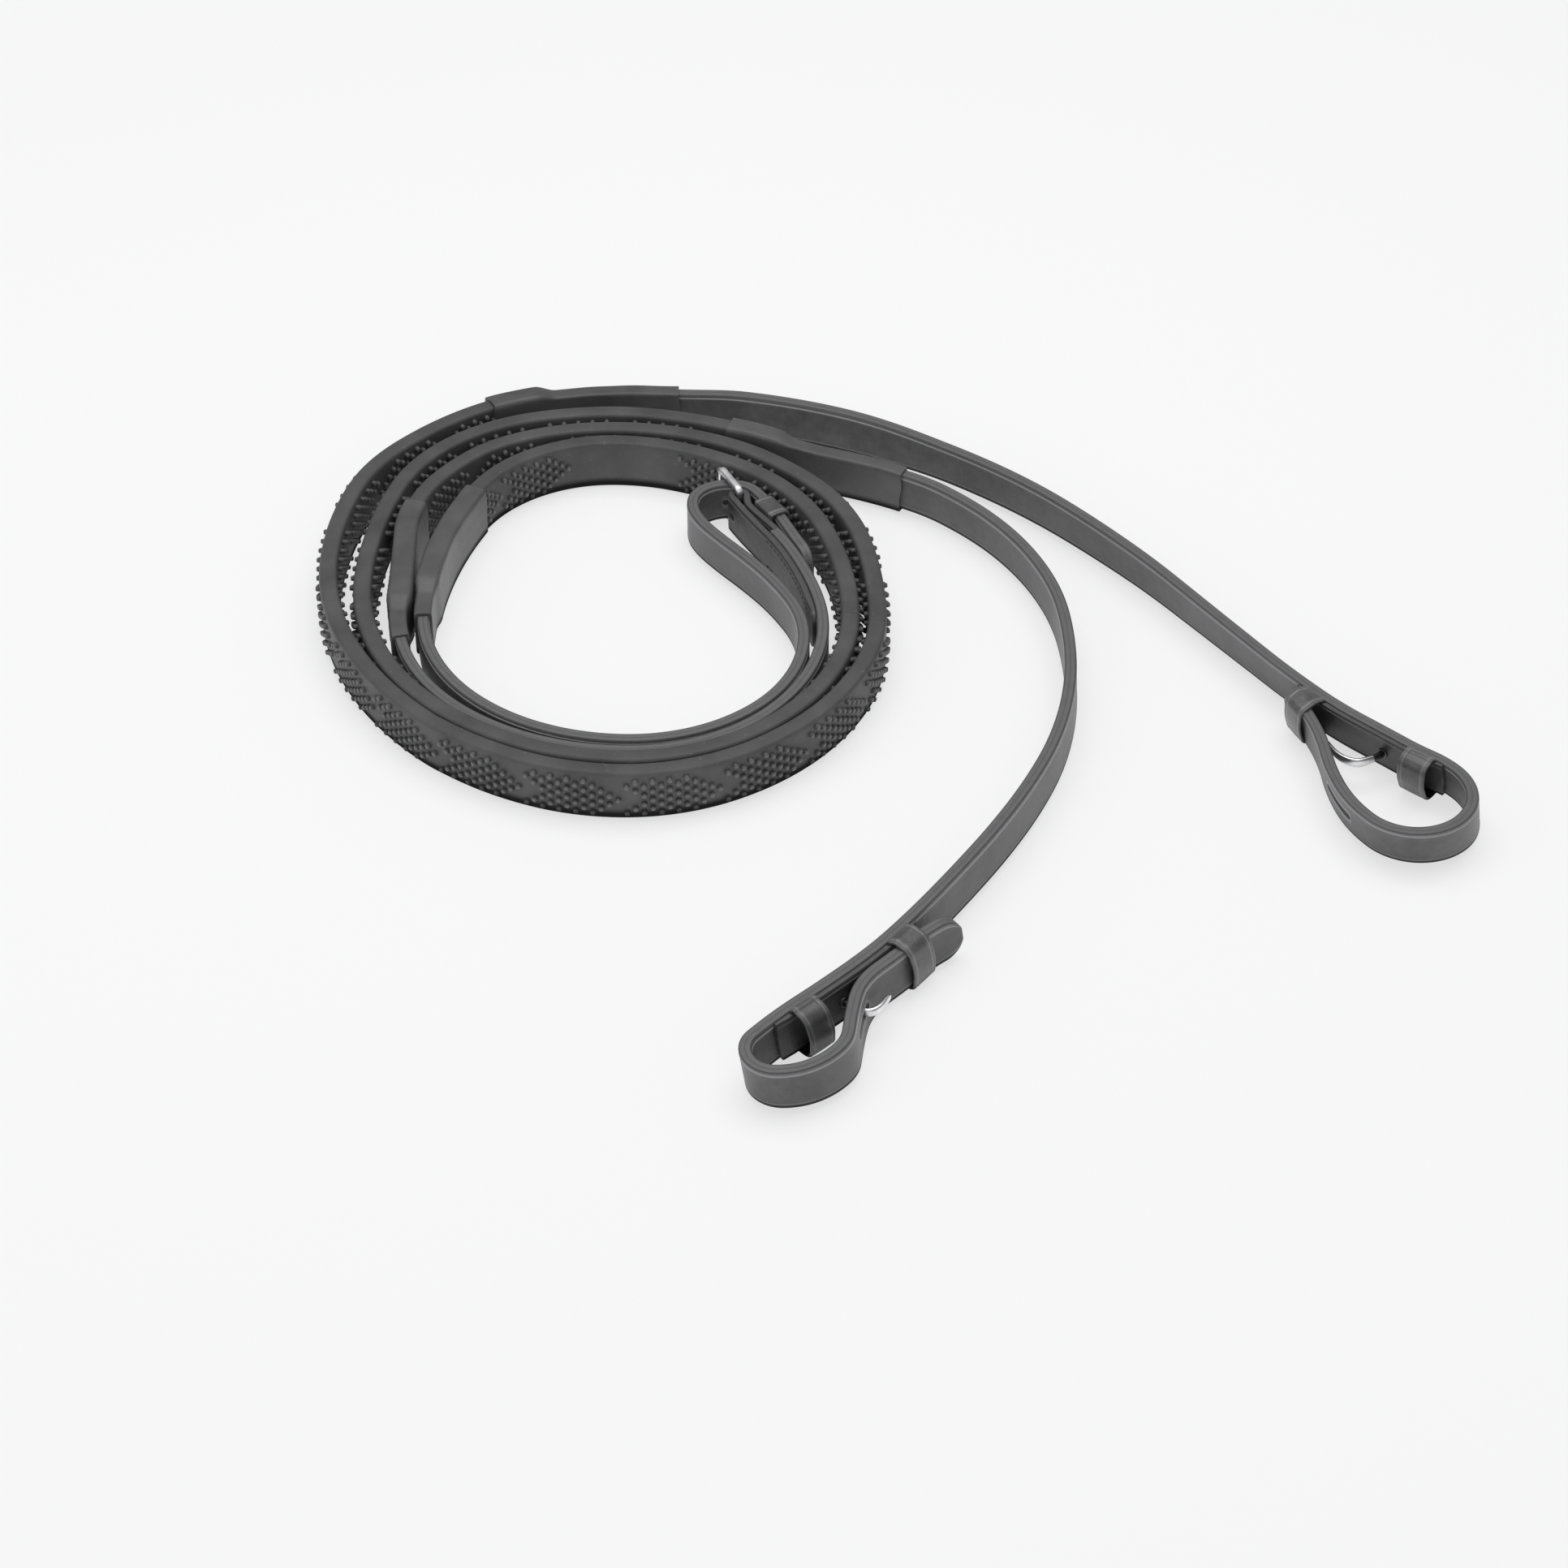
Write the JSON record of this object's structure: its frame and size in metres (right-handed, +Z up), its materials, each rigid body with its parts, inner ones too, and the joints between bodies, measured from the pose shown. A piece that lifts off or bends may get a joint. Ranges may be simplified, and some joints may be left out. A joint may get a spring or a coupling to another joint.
{
  "type": "leather reins",
  "caption": "Dark leather riding reins with pimpled rubber grips, coiled on edge, with hook stud billets, keepers, bit loops and a centre tongue buckle.",
  "frame": {"origin": "centre of the strap coil, on the plane the coil rests on", "axes": "+Z up, away from the rest plane and along the width of the straps; +X right and +Y away, so the bit ends leave the coil towards +X and -Y"},
  "size_m": [0.4162, 0.3898, 0.0215],
  "materials": {
    "strap_leather": "dark waxed bridle leather, fine grain, creased edges",
    "chape_leather": "dark leather, slightly lighter cut edges",
    "grip_rubber": "matt dark rubber with moulded pimples",
    "sleeve_rubber": "smooth matt shrunk sleeve",
    "metal": "polished bright metal",
    "thread": "waxed grey thread"
  },
  "bodies": {
    "coil": {"rein_a_coil_strap": "strap_leather", "rein_a_grip": "grip_rubber", "rein_a_outer_sleeve": "sleeve_rubber", "rein_a_inner_sleeve": "sleeve_rubber", "rein_b_coil_strap": "strap_leather", "rein_b_grip": "grip_rubber", "rein_b_outer_sleeve": "sleeve_rubber", "rein_b_inner_sleeve": "sleeve_rubber", "buckle_chape": "chape_leather", "buckle_keeper": "chape_leather", "buckle_stitching": "thread"},
    "rein_a_tail": {"rein_a_tail_strap": "strap_leather"},
    "rein_a_bit": {"rein_a_bit_strap": "strap_leather", "rein_a_bit_chape": "chape_leather", "rein_a_hook": "metal", "rein_a_outer_keeper": "chape_leather", "rein_a_inner_keeper": "chape_leather", "rein_a_bit_stitching": "thread"},
    "rein_b_tail": {"rein_b_tail_strap": "strap_leather"},
    "rein_b_bit": {"rein_b_bit_strap": "strap_leather", "rein_b_bit_chape": "chape_leather", "rein_b_hook": "metal", "rein_b_outer_keeper": "chape_leather", "rein_b_inner_keeper": "chape_leather", "rein_b_bit_stitching": "thread"},
    "buckle_frame_body": {"buckle_frame": "metal"},
    "buckle_tongue_body": {"buckle_tongue": "metal"}
  },
  "joints": [
    {"name": "rein_a_tail_flex", "type": "hinge", "parent": "coil", "child": "rein_a_tail", "pos_m": [0.03801, 0.13684, 0.0102], "axis": [0, 0, 1], "range_deg": [-3, 18]},
    {"name": "rein_a_bit_flex", "type": "hinge", "parent": "rein_a_tail", "child": "rein_a_bit", "pos_m": [0.22565, -0.00317, 0.0102], "axis": [0, 0, 1], "range_deg": [-20, 20]},
    {"name": "rein_b_tail_flex", "type": "hinge", "parent": "coil", "child": "rein_b_tail", "pos_m": [0.11857, 0.07946, 0.0102], "axis": [0, 0, 1], "range_deg": [-18, 4]},
    {"name": "rein_b_bit_flex", "type": "hinge", "parent": "rein_b_tail", "child": "rein_b_bit", "pos_m": [0.13413, -0.13822, 0.0102], "axis": [0, 0, 1], "range_deg": [-20, 20]},
    {"name": "buckle_frame_swing", "type": "hinge", "parent": "coil", "child": "buckle_frame_body", "pos_m": [0.0502, 0.068, 0.0102], "axis": [0, 0, 1], "range_deg": [-1, 8]},
    {"name": "buckle_tongue_swing", "type": "hinge", "parent": "buckle_frame_body", "child": "buckle_tongue_body", "pos_m": [0.0502, 0.068, 0.0102], "axis": [0, 0, 1], "range_deg": [-1.5, 0]}
  ]
}
